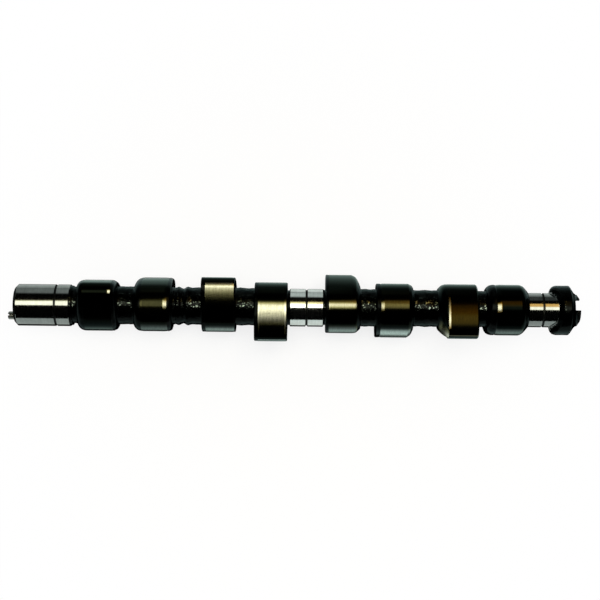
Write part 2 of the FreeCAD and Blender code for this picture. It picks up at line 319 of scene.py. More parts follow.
# A painted glint on the bevel in front of the seventh track, and a painted sheen on the rear side of
# every track. Both are given as directions round the shaft and the share of bright metal there.
BEVEL_GLINT = ((38, 55, 72, 105, 122), (0.002, 0.25, 0.9, 0.9, 0.002))
REAR_SIDE_SHINE = ((-150, -135, -100, -88), (0.0, 0.2, 0.2, 0.0))


def curve_through(steps, pieces):
    """Points on a smooth curve through the steps, a few for each stretch between two steps."""
    steps = [np.array(step) for step in steps]
    steps = [2 * steps[0] - steps[1]] + steps + [2 * steps[-1] - steps[-2]]
    found = []
    for a, b, c, d in zip(steps, steps[1:], steps[2:], steps[3:]):
        for piece in range(pieces):
            t = piece / pieces
            bend = 2 * a - 5 * b + 4 * c - d
            twist = 3 * b - a - 3 * c + d
            found.append(0.5 * (2 * b + (c - a) * t + bend * t ** 2 + twist * t ** 3))
    found.append(steps[-2])
    return found


print("points on a rounded shoulder:", len(curve_through(ROUNDED, SHOULDER_PIECES)))


# %% Shoulders and flat sides
def all_round(directions, values):
    """Values that are given at a few directions, filled in for each point of a ring."""
    return np.interp(np.degrees(normals), directions, values, period=360)


def shine_round(lobe):
    """The painted highlights and reflections of a lobe: the share of bright metal at each point round it.
    """
    return all_round(*zip(*lobe.shine)) + all_round(*REAR_SIDE_SHINE)


def cam_ring(lobe, place, drop, skin, share=1.0, **more):
    """A ring with the lobe's section. The drop makes its base circle smaller."""
    ring(place, BASE_RADIUS - drop, skin, share, lobe.nose, **more)


def shoulder(lobe, face, steps, inwards):
    """A cast shoulder. It runs in from its face with inwards 1, and out to it with -1."""
    found = curve_through(steps, SHOULDER_PIECES)
    if inwards < 0:
        found = found[::-1]
    ground_over = inwards < 0 and lobe.ease[1] == 0
    for depth, drop, share in found:
        place = face + inwards * depth
        drop = max(drop, 0.0)
        share = min(share, 1.0)
        if ground_over and drop < GROUND_DROP:
            cam_ring(lobe, place, drop, TRACK, share, shine=shine_round(lobe), tint=lobe.tint)
        elif inwards > 0 and lobe.front is NOSE_BEVEL:
            glint = all_round(*BEVEL_GLINT) * depth / steps[-1][0]
            cam_ring(lobe, place, max(drop, CAST_DROP), TRACK, share, shine=glint)
        else:
            cam_ring(lobe, place, max(drop, CAST_DROP), CAST, share, rough=0.55)


def climb(lobe, face, radius, steps, inwards):
    """The flat side of a lobe, between its neck and its shoulder."""
    start_drop, start_share = steps[0][1:]
    for part in CLIMB_PARTS if inwards > 0 else CLIMB_PARTS[::-1]:
        base = radius + (BASE_RADIUS - start_drop - radius) * part
        draft = inwards * SIDE_DRAFT * (part - FLUSH_PART)
        ring(face + draft, base, CAST, start_share * part, lobe.nose, rough=0.6, off=1 - part)


print("shoulders and sides can be laid")


# %% Necks
def neck_bump(waves, along):
    """The swells and waists of a neck, as the sum of its waves."""
    return sum(height * math.exp(-(((along - place) / width) ** 2)) for place, height, width in waves)


def neck(start, length, radius, waves=()):
    """A stretch of cast barrel with a small fillet at each end."""
    fillet = min(NECK_FILLET, length / 3)
    sag = FILLET_SAG * fillet
    count = max(2, round((length - 2 * fillet) / NECK_SPACING))
    # The shine on the rings of a neck sets how much painted sparkle its cast skin gets.
    ring(start, radius + fillet, CAST, rough=0.6, off=1, shine=0.6)
    ring(start + sag, radius + sag, CAST, rough=0.7, off=1, shine=0.8)
    for step in range(count + 1):
        along = fillet + (length - 2 * fillet) * step / count
        ring(start + along, radius + neck_bump(waves, along), CAST, rough=1, off=1, shine=1.0)
    ring(start + length - sag, radius + sag, CAST, rough=0.7, off=1, shine=0.8)
    ring(start + length, radius + fillet, CAST, rough=0.6, off=1, shine=0.6)


print("necks can be laid")

# %% Ground tracks
EASE_RADIUS = 13.0
EASE_STEPS = 5
FACING_UP = math.radians(6.0)
UPPER_SIDE = math.radians(10.0)
FLANK_SIDE = math.radians(15.0)
FLANK_IN_VIEW = (30.0, 90.0)


def edge_shine(lobe, value):
    """A painted highlight on the eased edge of a track, on the side where it mirrors the lamp."""
    middle = FACING_UP
    width = UPPER_SIDE
    if FLANK_IN_VIEW[0] < lobe.nose < FLANK_IN_VIEW[1]:
        middle = math.radians(lobe.nose) - HALF_DURATION + FLANK_SIDE
        width = FLANK_SIDE
    away = (normals - middle + math.pi) % (2 * math.pi) - math.pi
    return shine_round(lobe) + value * np.exp(-((away / width) ** 4))


def eased(far):
    """How far the eased edge has dropped, at a distance from the full track."""
    return far ** 2 / (2 * EASE_RADIUS)


def ground_track(lobe):
    """The band that the grinding wheel leaves, with its eased edges."""
    start, end = lobe.track
    before, after = lobe.ease
    front_edge = edge_shine(lobe, lobe.edges[0])
    rear_edge = edge_shine(lobe, lobe.edges[1])
    inside = shine_round(lobe)
    for step in range(EASE_STEPS):
        far = before * (1 - step / EASE_STEPS)
        cam_ring(lobe, start - far, eased(far), TRACK, shine=front_edge, tint=lobe.tint)
    for place in lobe.track:
        cam_ring(lobe, place, 0.0, TRACK, shine=inside, tint=lobe.tint)
    if after == 0:
        return
    for step in range(1, EASE_STEPS + 1):
        far = after * step / EASE_STEPS
        skin = CAST if step == EASE_STEPS else TRACK
        cam_ring(lobe, end + far, eased(far), skin, shine=rear_edge, tint=lobe.tint)


def cast_band(lobe, start, end):
    """The strip of cast profile between a shoulder and the track."""
    count = int((end - start) / BAND_SPACING)
    for step in range(1, count + 1):
        place = start + (end - start) * step / (count + 1)
        cam_ring(lobe, place, CAST_DROP, CAST, rough=0.45)


print("tracks can be laid")

# %% The eight lobes
# Directions of the noses are measured about the axis from straight up, towards the front. The
# last column gives painted highlights and painted reflections on the track: the share of bright
# metal that shows at directions in the same measure.
LOBES = (
    Lobe(-18.5, 4.1, 13.8, 30.5, ROUNDED_LONG, ROUNDED, (54.2, 72.4), (0.5, 2.2), (0.002, 0.35), 0.2,
         ((66, 0.002), (73, 0.03), (110, 0.03), (125, 0.002))),
    Lobe(-124.5, 11.8, 14.4, 28.8, ROUNDED_LONG, SQUARE_EASED, (97.5, 112.6), (1.6, 3.1), (0.01, 0.25), 0.1,
         ((-30, 0.003), (-12, 0.015), (24, 0.015), (40, 0.003), (56, 0.004), (64, 0.04), (71, 0.09),
          (110, 0.09), (125, 0.003))),
    Lobe(-34.5, 22.5, 14.1, 25.5, SQUARE, SQUARE, (145.9, 163.9), (1.2, 2.2), (0.01, 0.02), 0.05,
         ((-20, 0.003), (-14, 0.45), (5, 0.33), (10, 0.23), (12, 0.18), (14, 0.15), (16, 0.13), (18, 0.1),
          (20, 0.08), (22, 0.05), (26, 0.003), (58, 0.003), (64, 0.03), (73, 0.22), (110, 0.22),
          (125, 0.003))),
    Lobe(71.5, 14.2, 14.1, 24.9, SQUARE, SQUARE, (185.4, 203.8), (1.2, 1.4), (0.12, 0.2), 0.05,
         ((-4, 0.003), (-1, 0.06), (0, 0.13), (2, 0.3), (5, 0.37), (8, 0.27), (10, 0.25), (13, 0.32),
          (15, 0.29), (17, 0.2), (19, 0.11), (20.5, 0.05), (22, 0.015), (25, 0.003), (67, 0.003),
          (70, 0.4), (73, 0.4), (76, 0.003))),
    Lobe(-108.5, 1.6, 13.2, 26.4, SQUARE, ROUNDED_NOSE, (238.1, 254.6), (0.8, 0.0), (0.06, 0.0), 0.05,
         ((-14, 0.003), (-8, 0.004), (-3, 0.06), (2, 0.26), (6, 0.22), (9, 0.14), (12, 0.06), (16, 0.008),
          (20, 0.003), (52, 0.003), (57, 0.02), (64, 0.09), (73, 0.25), (110, 0.25), (125, 0.003))),
    Lobe(145.5, 11.8, 14.1, 28.1, SQUARE, ROUNDED, (279.0, 297.2), (2.6, 0.0), (0.2, 0.0), 0.35,
         ((-40, 0.002), (-14, 0.006), (-9, 0.015), (-4, 0.038), (1, 0.04), (6, 0.028), (11, 0.01),
          (20, 0.003), (58, 0.003), (64, 0.02), (71, 0.2), (80, 0.6), (110, 0.6), (125, 0.003))),
    Lobe(55.5, 18.9, 13.8, 29.4, NOSE_BEVEL, SQUARE_CRISP, (328.2, 348.1), (1.6, 0.0), (0.3, 0.0), 0.92,
         ((-20, 0.002), (-10, 0.0066), (-6.6, 0.0085), (-4.7, 0.012), (-2.8, 0.015), (0, 0.013),
          (3, 0.011), (6.4, 0.0098), (8.2, 0.0064), (10, 0.003), (12, 0.002), (51, 0.002), (54, 0.1),
          (57, 0.1), (60, 0.002))),
    Lobe(161.5, 6.6, 13.6, 31.8, ROUNDED_LONG, REAR_BEVEL, (366.6, 381.4), (3.4, 0.0), (0.3, 0.0), 0.75,
         ((-13, 0.001), (-9, 0.006), (-6, 0.0095), (-2, 0.0085), (2, 0.003), (5, 0.001), (59, 0.001),
          (66, 0.05), (75, 0.12), (110, 0.12), (125, 0.001))),
)
print("lobes:", len(LOBES))

# %% Lay the rings of the lobes, the barrel and the middle journal
MIDDLE_RADIUS = 14.3
# Brighter than the end journals: partly its finish, partly painted light for the brighter middle.
MIDDLE_SHINE = 0.62
MIDDLE_LENGTH = 25.4
MIDDLE_CHAMFER = 0.5
MIDDLE_CHAMFER_DROP = 0.45
RELIEF_LENGTH = 1.7
RELIEF_RADIUS = 13.2
LOBES_BEFORE_MIDDLE = 4
REAR_NECK_RADIUS = 12.4
NECK_WAVES = {
    1: ((6.0, -0.25, 2.0),),
    2: ((2.2, -0.35, 1.2), (4.6, 0.45, 1.2), (8.2, -0.95, 1.7), (11.6, 0.5, 1.4), (15.5, -0.2, 1.6)),
    3: ((3.5, 0.2, 1.5), (9.5, -0.2, 2.0)),
    5: ((4.0, 0.2, 1.5), (7.5, -0.2, 1.4)),
    6: ((4.0, -0.25, 2.0), (9.0, 0.2, 1.5), (14.5, -0.2, 1.8)),
}


def middle_journal(start):
    """The journal between the second and third cylinders, and its relief in front."""
    ring(start, RELIEF_RADIUS, CAST, rough=0.2)
    ring(start + RELIEF_LENGTH - CORNER, RELIEF_RADIUS, CAST, rough=0.2)
    start += RELIEF_LENGTH
    end = start + MIDDLE_LENGTH
    chamfered = MIDDLE_RADIUS - MIDDLE_CHAMFER_DROP
    ring(start, chamfered - BREAK, TURNED)
    ring(start + CORNER, chamfered, STEEL, shine=MIDDLE_SHINE)
    ring(start + MIDDLE_CHAMFER, MIDDLE_RADIUS, STEEL, shine=MIDDLE_SHINE)
    groove((start + end) / 2, MIDDLE_RADIUS, MIDDLE_SHINE)
    ring(end - MIDDLE_CHAMFER, MIDDLE_RADIUS, STEEL, shine=MIDDLE_SHINE)
    ring(end - CORNER, chamfered, TURNED, shine=MIDDLE_SHINE)
    ring(end, chamfered - BREAK, CAST)
    return end


along = FIRST_NECK_AT
for number, lobe in enumerate(LOBES):
    if number == LOBES_BEFORE_MIDDLE:
        along = middle_journal(along)
    neck(along, lobe.neck_length, lobe.neck_radius, NECK_WAVES.get(number, ()))
    along += lobe.neck_length
    rear_face = along + lobe.length
    climb(lobe, along, lobe.neck_radius, lobe.front, 1)
    shoulder(lobe, along, lobe.front, 1)
    cast_band(lobe, along + lobe.front[-1][0], lobe.track[0] - lobe.ease[0])
    ground_track(lobe)
    cast_band(lobe, lobe.track[1] + lobe.ease[1], rear_face - lobe.rear[-1][0])
    shoulder(lobe, rear_face, lobe.rear, -1)
    next_radius = REAR_NECK_RADIUS
    if number + 1 < len(LOBES):
        next_radius = LOBES[number + 1].neck_radius
    climb(lobe, rear_face, next_radius, lobe.rear, -1)
    along = rear_face
print("rear face of the last lobe at", round(along, 1), "mm, rings:", len(rings))

# %% [markdown]
# ## The tail
# Behind the rear journal comes a rough flange with rounded bevels, and a short boss. The pump's
# driving tang sits in a slot across the boss. The rings only give the round part of it, and the
# slot is cut later, as a milling cutter would do it.

# %% The rear journal, the flange and the boss
REAR_RADIUS = 13.0
REAR_SHINE = 0.23
REAR_LENGTH = 16.4
REAR_GROOVE_AT = 11.2
REAR_CHAMFER = 0.4
REAR_CHAMFER_DROP = 0.3
FLANGE_RADIUS = 18.8
FLANGE_LENGTH = 20.0
BOSS_RADIUS = 12.0
BOSS_LENGTH = 3.2
BOSS_CHAMFER_LENGTH = 2.2
BOSS_CHAMFER_DROP = 3.0
BOSS_FILLET = 0.3
END_FACE_RING = 5.0
FLANGE_DRAFT = 0.48
MOULD_DRAW_ANGLE = math.radians(11.0)
DRAFT_LENGTH = 9.9
DRAFT_STEPS = 33
FRONT_BEVEL = ((0.0, 4.9), (1.5, 2.5), (3.0, 0.8), (5.0, 0.1), (7.0, 0.0))
REAR_BEVEL_OF_FLANGE = ((0.0, 6.6), (1.5, 5.3), (3.4, 2.6), (5.2, 0.2), (7.0, 0.0))
BEVEL_PIECES = 3

flange = along + REAR_LENGTH
boss = flange + FLANGE_LENGTH
tip = boss + BOSS_LENGTH
ring(along + CORNER / 2, REAR_RADIUS - REAR_CHAMFER_DROP, TURNED)
ring(along + REAR_CHAMFER, REAR_RADIUS, STEEL, shine=REAR_SHINE)
groove(along + REAR_GROOVE_AT, REAR_RADIUS, REAR_SHINE)

front_bevel = curve_through(FRONT_BEVEL, BEVEL_PIECES)
bevel_depths = [depth for depth, drop in front_bevel]
bevel_drops = [drop for depth, drop in front_bevel]
draw_lean = np.maximum(np.abs(np.cos(normals - MOULD_DRAW_ANGLE)), 0.001)
for step in range(DRAFT_STEPS + 1):
    depth = DRAFT_LENGTH * step / DRAFT_STEPS
    full = FLANGE_RADIUS - np.interp(depth, bevel_depths, bevel_drops)
    drafted = depth / (FLANGE_DRAFT * draw_lean)
    radius = np.maximum(REAR_RADIUS, np.minimum(full, drafted))
    skin = np.where(radius > REAR_RADIUS, CAST, STEEL)
    rough = np.where(radius > REAR_RADIUS + 0.3, 0.5, 0.0)
    ring(flange + depth, radius, skin, rough=rough, shine=REAR_SHINE)
for step in range(1, 4):
    ring(flange + DRAFT_LENGTH + step, FLANGE_RADIUS, CAST, rough=0.6)
for depth, drop in curve_through(REAR_BEVEL_OF_FLANGE, BEVEL_PIECES)[::-1]:
    ring(boss - depth, FLANGE_RADIUS - drop, CAST, rough=0.6)
ring(boss + BOSS_FILLET, BOSS_RADIUS + CORNER / 2, TURNED)
ring(tip - BOSS_CHAMFER_LENGTH, BOSS_RADIUS, TURNED)
ring(tip - BOSS_CHAMFER_LENGTH + BREAK, BOSS_RADIUS - 2 * CORNER, TURNED)
ring(tip - CORNER, BOSS_RADIUS - BOSS_CHAMFER_DROP + BREAK, TURNED)
ring(tip, BOSS_RADIUS - BOSS_CHAMFER_DROP - CORNER, TURNED)
ring(tip, END_FACE_RING, TURNED)
ring(tip, CENTRE, TURNED)
print("tip at", round(tip, 1), "mm, rings:", len(rings))

# %% [markdown]
# ## From rings to a mesh
# Each pair of neighbouring rings is joined by a belt of four-sided faces. The thread in the bolt
# hole is cut here too: on those rings the radius follows a screw line, which is the same wave
# shifted a little further round on every ring. Two numbers are stored on the points for the
# materials to read, the shine and the tint. The shine is how bright the metal is. On the tracks
# it places painted highlights and painted reflections, and on the cast skin painted sparks.

# %% Build the casting's mesh
THREAD_STEEPNESS = 1.35
THREAD_ROOT_FLAT = 0.2


def threaded(item, points):
    """Cuts the thread's groove into a ring of the bolt hole."""
    turns = item.along / THREAD_PITCH + normals / (2 * math.pi)
    wave = np.abs((turns % 1.0) - 0.5) * 2
    deep = np.clip(wave * THREAD_STEEPNESS - THREAD_ROOT_FLAT, 0, 1) * THREAD_DEPTH
    ending = COUNTERSINK + THREAD_PITCH * (THREAD_TURNS - 1)
    fade = np.clip((ending - item.along) / THREAD_PITCH, 0, 1)
    return points + outward * (deep * fade)[:, None]


def belt(first, second, count=RING_POINTS):
    """The faces between two closed outlines, given the index of the first point of each."""
    faces = []
    for point in range(count):
        after = (point + 1) % count
        faces.append((first + point, first + after, second + after, second + point))
    return faces


def skin_mesh(name):
    """Joins all the rings into one closed mesh in metres."""
    points = []
    faces = []
    skins = []
    shine = []
    tint = []
    inside_thread = set(threaded_rings)
    for number, item in enumerate(rings):
        found = ring_points(item)
        if number in inside_thread:
            found = threaded(item, found)
        along_axis = np.full((RING_POINTS, 1), item.along)
        points.append(np.hstack([along_axis, found]) * MM)
        shine += np.broadcast_to(item.shine, RING_POINTS).tolist()
        tint += [item.tint] * RING_POINTS
        if number:
            faces += belt((number - 1) * RING_POINTS, number * RING_POINTS)
            skins += np.broadcast_to(rings[number - 1].skin, RING_POINTS).tolist()
    last = (len(rings) - 1) * RING_POINTS
    faces.append(tuple(range(RING_POINTS))[::-1])
    faces.append(tuple(range(last, last + RING_POINTS)))
    skins += [TURNED, TURNED]
    mesh = bpy.data.meshes.new(name)
    mesh.from_pydata(np.vstack(points).tolist(), [], faces)
    mesh.polygons.foreach_set("material_index", skins)
    mesh.attributes.new("shine", "FLOAT", "POINT").data.foreach_set("value", shine)
    mesh.attributes.new("tint", "FLOAT", "POINT").data.foreach_set("value", tint)
    mesh.update()
    return mesh


casting_mesh = skin_mesh("camshaft_casting")
casting = add_object("camshaft_casting", casting_mesh)
print("casting:", len(casting_mesh.vertices), "points,", len(casting_mesh.polygons), "faces")

# %% [markdown]
# ## Cutting the drive slot and the pin's hole
# A milled slot and a drilled hole are what booleans are good at: the cutter's own shape is left
# in the metal. The slot sits off the centre, so the pump only fits one way round, and one edge
# of its mouth is chamfered.

# %% Cut the slot and the hole
SLOT_WIDTH = 7.2
SLOT_DEPTH = 5.0
SLOT_OFFSET = 3.8
SLOT_ANGLE = math.radians(11.0)
SLOT_CHAMFER = 1.6
SLOT_FILLET = 0.5
FILLET_MIDDLE = 0.15
PIN_HOLE_RADIUS = 3.0
PIN_CIRCLE_RADIUS = 9.0
PIN_ANGLE = math.radians(74.0)
PIN_LENGTH = 16.0
PIN_STANDS_OUT = 4.9
PIN_POINTS = 64

pin_centre = Vector((0, -math.sin(PIN_ANGLE), math.cos(PIN_ANGLE))) * PIN_CIRCLE_RADIUS


def keep_slots(mesh):
    """Gives a mesh an empty material slot for each finish, so that a cut keeps their numbers."""
    for _ in range(TURNED + 1):
        mesh.materials.append(None)


def prism(name, near, far):
    """A closed solid between two outlines with the same number of points."""
    count = len(near)
    points = [tuple(Vector(point) * MM) for point in list(near) + list(far)]
    faces = [tuple(range(count))[::-1], tuple(range(count, 2 * count))]
    faces += belt(0, count, count)
    mesh = bpy.data.meshes.new(name)
    mesh.from_pydata(points, [], faces)
    build = bmesh.new()
    build.from_mesh(mesh)
    bmesh.ops.recalc_face_normals(build, faces=build.faces)
    build.to_mesh(mesh)
    build.free()
    keep_slots(mesh)
    mesh.polygons.foreach_set("material_index", [TURNED] * len(mesh.polygons))
    return add_object(name, mesh)


def slot_outline(height):
    """The slot's section at a height along its length, turned to the slot's direction."""
    far = SLOT_OFFSET + SLOT_WIDTH / 2
    near = SLOT_OFFSET - SLOT_WIDTH / 2
    floor = tip - SLOT_DEPTH
    corners = (
        (floor, near + SLOT_FILLET),
        (floor + FILLET_MIDDLE, near + FILLET_MIDDLE),
        (floor + SLOT_FILLET, near),
        (tip + SLOT_CHAMFER, near),
        (tip + SLOT_CHAMFER, far + 2 * SLOT_CHAMFER),
        (tip - SLOT_CHAMFER, far),
        (floor + SLOT_FILLET, far),
        (floor + FILLET_MIDDLE, far - FILLET_MIDDLE),
        (floor, far - SLOT_FILLET),
    )
    turn = Matrix.Rotation(SLOT_ANGLE, 3, "X")
    return [turn @ Vector((x, y, height)) for x, y in corners]


def circle_outline(x, radius):
    """A circle about the pin's axis."""
    found = []
    for point in range(PIN_POINTS):
        angle = 2 * math.pi * point / PIN_POINTS
        spoke = Vector((0, math.sin(angle), math.cos(angle))) * radius
        found.append(Vector((x, 0, 0)) + pin_centre + spoke)
    return found


def cut(solid, cutter, solver):
    """Takes the cutter out of the solid and removes the cutter."""
    step = solid.modifiers.new("cut", "BOOLEAN")
    step.operation = "DIFFERENCE"
    step.solver = solver
    step.object = cutter
    bpy.context.view_layer.objects.active = solid
    with bpy.context.temp_override(object=solid, active_object=solid):
        bpy.ops.object.modifier_apply(modifier=step.name)
    bpy.data.objects.remove(cutter)


keep_slots(casting_mesh)
slot_cutter = prism("slot_cutter", slot_outline(-FLANGE_RADIUS - 2), slot_outline(FLANGE_RADIUS + 2))
hole_end = PIN_LENGTH - PIN_STANDS_OUT
hole_mouth = circle_outline(-1, PIN_HOLE_RADIUS)
hole_floor = circle_outline(hole_end, PIN_HOLE_RADIUS)
hole_cutter = prism("hole_cutter", hole_mouth, hole_floor)
cut(casting, slot_cutter, "MANIFOLD")
cut(casting, hole_cutter, "MANIFOLD")
casting_mesh = casting.data
print("after cutting:", len(casting_mesh.polygons), "faces")

# %% [markdown]
# ## The locating pin
# A slotted spring pin is a strip of spring steel rolled into a tube that doesn't quite close.
# Its section is one outline: round the outside, across one edge of the slit, back round the
# bore and across the other edge. The same outline is repeated along the pin, smaller at the
# ends, where the maker rolls a lead-in.

# %% Build the pin
PIN_RADIUS = 3.0
PIN_WALL = 1.2
PIN_SLIT = 1.2
ARC_STEPS = 56


def pin_arc(x, radius):
    """Points round the pin's axis, from one edge of the slit to the other."""
    gap = math.asin(PIN_SLIT / 2 / radius)
    found = []
    for step in range(ARC_STEPS + 1):
        angle = gap + (2 * math.pi - 2 * gap) * step / ARC_STEPS
        found.append(pin_centre + Vector((x, math.sin(angle) * radius, math.cos(angle) * radius)))
    return found


def pin_section(x, outer, inner):
    """One C-shaped section of the pin, with its slit at the top."""
    return pin_arc(x, outer) + pin_arc(x, inner)[::-1]


def pin_mesh(name):
    """The whole pin, from its free end to the bottom of its hole."""
    bore = PIN_RADIUS - PIN_WALL
    free = -PIN_STANDS_OUT
    end = free + PIN_LENGTH
    sections = (
        (free, PIN_RADIUS - 0.7, bore + 0.12),
        (free + 0.06, PIN_RADIUS - 0.52, bore + 0.03),
        (free + 0.5, PIN_RADIUS - 0.06, bore),
        (free + 0.75, PIN_RADIUS, bore),
        (end - 0.6, PIN_RADIUS, bore),
        (end, PIN_RADIUS - 0.6, bore),
    )
    points = []
    faces = []
    count = 2 * (ARC_STEPS + 1)
    for number, (x, outer, inner) in enumerate(sections):
        points += [tuple(point * MM) for point in pin_section(x, outer, inner)]
        if number:
            faces += belt((number - 1) * count, number * count, count)
    last = (len(sections) - 1) * count
    for step in range(ARC_STEPS):
        back = count - 1 - step
        faces.append((step, step + 1, back - 1, back))
        faces.append((last + step, last + back, last + back - 1, last + step + 1))
    mesh = bpy.data.meshes.new(name)
    mesh.from_pydata(points, [], faces)
    return mesh


spring_pin = add_object("slotted_spring_pin", pin_mesh("slotted_spring_pin"))
print("pin:", len(spring_pin.data.polygons), "faces")

# %% Lay both pieces down and give them their places
SHARP_MACHINED = math.radians(11.0)
SHARP_CAST = math.radians(50.0)


def finish_mesh(piece):
    """Points every face outwards, and shades it smooth except at its machined edges."""
    build = bmesh.new()
    build.from_mesh(piece.data)
    bmesh.ops.recalc_face_normals(build, faces=build.faces)
    for face in build.faces:
        face.smooth = True
    for edge in build.edges:
        rough = piece is casting and all(face.material_index == CAST for face in edge.link_faces)
        limit = SHARP_CAST if rough else SHARP_MACHINED
        edge.smooth = edge.calc_face_angle(0.0) < limit
    build.to_mesh(piece.data)
    build.free()


for piece, node, slot in (
    (casting, "camshaft", "blackened_iron"),
    (spring_pin, "locating_pin", "spring_steel"),
):
    finish_mesh(piece)
    piece.matrix_world = shaft_frame
    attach(piece, "root")
    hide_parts(node)
    print(piece.name, "stands for", node)

# %% [markdown]
# ## Effects that several finishes share
# Grinding marks, the grain of a casting, oily patches and worn edges turn up on more than one
# surface. Each is a node group with its own inputs, built once and placed in every material with
# other values. A group only puts out masks and heights. The shader itself stays in the material.

# %% A small helper for node trees
class Tree:
    """Adds nodes to a material or a group in short lines."""

    def __init__(self, tree):
        self.tree = tree

    def put(self, socket, value):
        """Links a socket or sets a number on an input."""
        if isinstance(value, bpy.types.NodeSocket):
            self.tree.links.new(value, socket)
        else:
            socket.default_value = value

    def node(self, kind, inputs=(), **settings):
        """A node with its settings, and with its inputs by name or by number."""
        made = self.tree.nodes.new("ShaderNode" + kind)
        for name, value in settings.items():
            setattr(made, name, value)
        for name, value in dict(inputs).items():
            self.put(made.inputs[name], value)
        return made

    def maths(self, operation, first, second=0.0, clamp=False):
        """One step of arithmetic."""
        return self.node("Math", {0: first, 1: second}, operation=operation, use_clamp=clamp).outputs[0]

    def times(self, first, second, clamp=False):
        """One number times another."""
        return self.maths("MULTIPLY", first, second, clamp)

    def plus(self, first, second, clamp=False):
        """One number plus another."""
        return self.maths("ADD", first, second, clamp)

    def spread(self, value, low, high, to_low=0.0, to_high=1.0):
        """Stretches a value from one range to another, and stops at its ends."""
        ends = {"From Min": low, "From Max": high, "To Min": to_low, "To Max": to_high}
        made = self.node("MapRange", {"Value": value, **ends}, interpolation_type="SMOOTHSTEP")
        return made.outputs["Result"]

    def choose(self, yes, otherwise, chosen):
        """One number, or another where yes is 1."""
        return self.spread(yes, 0.0, 1.0, otherwise, chosen)

    def blend(self, share, first, second):
        """Mixes two colours."""
        return self.node("Mix", {0: share, 6: first, 7: second}, data_type="RGBA").outputs[2]

    def noise(self, vector, scale, detail=2.0, roughness=0.5):
        """Noise from 0 to 1."""
        look = {"Scale": scale, "Detail": detail, "Roughness": roughness}
        return self.node("TexNoise", {"Vector": vector, **look}).outputs["Fac"]

    def split(self, vector):
        """The x, y and z of a vector."""
        return self.node("SeparateXYZ", {0: vector}).outputs

    def join(self, *parts):
        """A vector from its x, y and z."""
        return self.node("CombineXYZ", enumerate(parts)).outputs[0]

    def length(self, vector):
        """How long a vector is."""
        return self.node("VectorMath", {0: vector}, operation="LENGTH").outputs["Value"]

    def coordinates(self, kind="Object"):
        """Coordinates on the surface. The object's own ones run along the shaft."""
        return self.node("TexCoord").outputs[kind]

    def facing(self, axis):
        """How far the surface faces along one of the shaft's own axes, from -1 to 1."""
        return self.split(self.coordinates("Normal"))[axis]

    def in_millimetres(self):
        """The shaft's own coordinates in millimetres, with x along the shaft."""
        scaled = self.node("Mapping", {"Vector": self.coordinates(), "Scale": (1 / MM, 1 / MM, 1 / MM)})
        return scaled.outputs["Vector"]


def group(name, inputs, outputs):
    """An empty node group with named number sockets. Returns it with its first nodes."""
    made = bpy.data.node_groups.new(name, "ShaderNodeTree")
    for title, value in inputs.items():
        socket = made.interface.new_socket(title, in_out="INPUT", socket_type="NodeSocketFloat")
        socket.default_value = value
    for title in outputs:
        made.interface.new_socket(title, in_out="OUTPUT", socket_type="NodeSocketFloat")
    tree = Tree(made)
    start = made.nodes.new("NodeGroupInput")
    end = made.nodes.new("NodeGroupOutput")
    print("made the group", name)
    return made, tree, start.outputs, end.inputs


print("helpers ready")

# %% [markdown]
# Grinding marks run round the shaft. Noise that is stretched a long way round and squeezed along
# the axis gives lines of every width. A lathe also leaves rings on the end faces, and there the
# distance from the axis is added to the place along it.

# %% Group: grinding marks
WAVER_PER_MM = 0.05

marks, tree, start, end = group(
    "grinding marks",
    {"Lines per mm": 4.0, "Waver": 1.0, "Across faces": 0.0},
    ("Height", "Mask"),
)
place = tree.split(tree.in_millimetres())
radius = tree.length(tree.join(0.0, place[1], place[2]))
across = tree.plus(place[0], tree.times(radius, start["Across faces"]))
round_scale = tree.times(start["Waver"], WAVER_PER_MM)
squeezed = tree.join(
    tree.times(across, start["Lines per mm"]),
    tree.times(place[1], round_scale),
    tree.times(place[2], round_scale),
)
lines = tree.noise(squeezed, 1.0, 3.0, 0.6)
tree.put(end["Height"], lines)
tree.put(end["Mask"], tree.spread(lines, 0.38, 0.62))

# %% [markdown]
# A sand casting is bumpy at every size, from the grains of the mould to swells as wide as a
# finger. Two sizes of noise and round lumps are added up.

# %% Group: cast grain
grain, tree, start, end = group("cast grain", {"Grain size": 0.8}, ("Height",))
place = tree.in_millimetres()
fine = tree.noise(place, tree.maths("DIVIDE", 1.0, start["Grain size"]), 3.0, 0.65)
coarse = tree.noise(place, tree.maths("DIVIDE", 0.28, start["Grain size"]), 2.0, 0.5)
lump_scale = tree.maths("DIVIDE", 0.55, start["Grain size"])
cells = tree.node("TexVoronoi", {"Vector": place, "Scale": lump_scale}, feature="F1")
lumps = tree.spread(cells.outputs["Distance"], 0.0, 0.75, 1.0, 0.0)
height = tree.plus(tree.times(fine, 0.5), tree.times(coarse, 0.8))
height = tree.plus(height, tree.times(lumps, 0.45))
tree.put(end["Height"], height)

# %% [markdown]
# Oil and handling leave soft patches. They change the tint and the gloss of the ground metal a
# little from place to place, which keeps large plain areas from looking like plastic.

# %% Group: oily patches
patches, tree, start, end = group(
    "oily patches",
    {"Patch size": 8.0, "Speck size": 0.7, "Speck edge": 0.58},
    ("Patches", "Specks"),
)
place = tree.in_millimetres()
wide = tree.noise(place, tree.maths("DIVIDE", 1.0, start["Patch size"]), 3.0, 0.6)
small = tree.noise(place, tree.maths("DIVIDE", 1.0, start["Speck size"]), 2.0, 0.6)
tree.put(end["Patches"], tree.spread(wide, 0.35, 0.65))
speck_end = tree.plus(start["Speck edge"], 0.12)
tree.put(end["Specks"], tree.spread(small, start["Speck edge"], speck_end))

# %% [markdown]
# Edges that are knocked or rubbed lose their dark coat. The pointiness of the mesh is high on
# such edges, so it makes a mask for them, broken up by a little noise.

# %% Group: worn edges
worn, tree, start, end = group("worn edges", {"Amount": 0.5}, ("Mask",))
pointed = tree.node("NewGeometry").outputs["Pointiness"]
ragged = tree.noise(tree.in_millimetres(), 0.9, 3.0, 0.7)
edge = tree.spread(pointed, 0.53, 0.6)
edge = tree.times(edge, tree.spread(ragged, 0.42, 0.6))
tree.put(end["Mask"], tree.times(edge, start["Amount"], clamp=True))

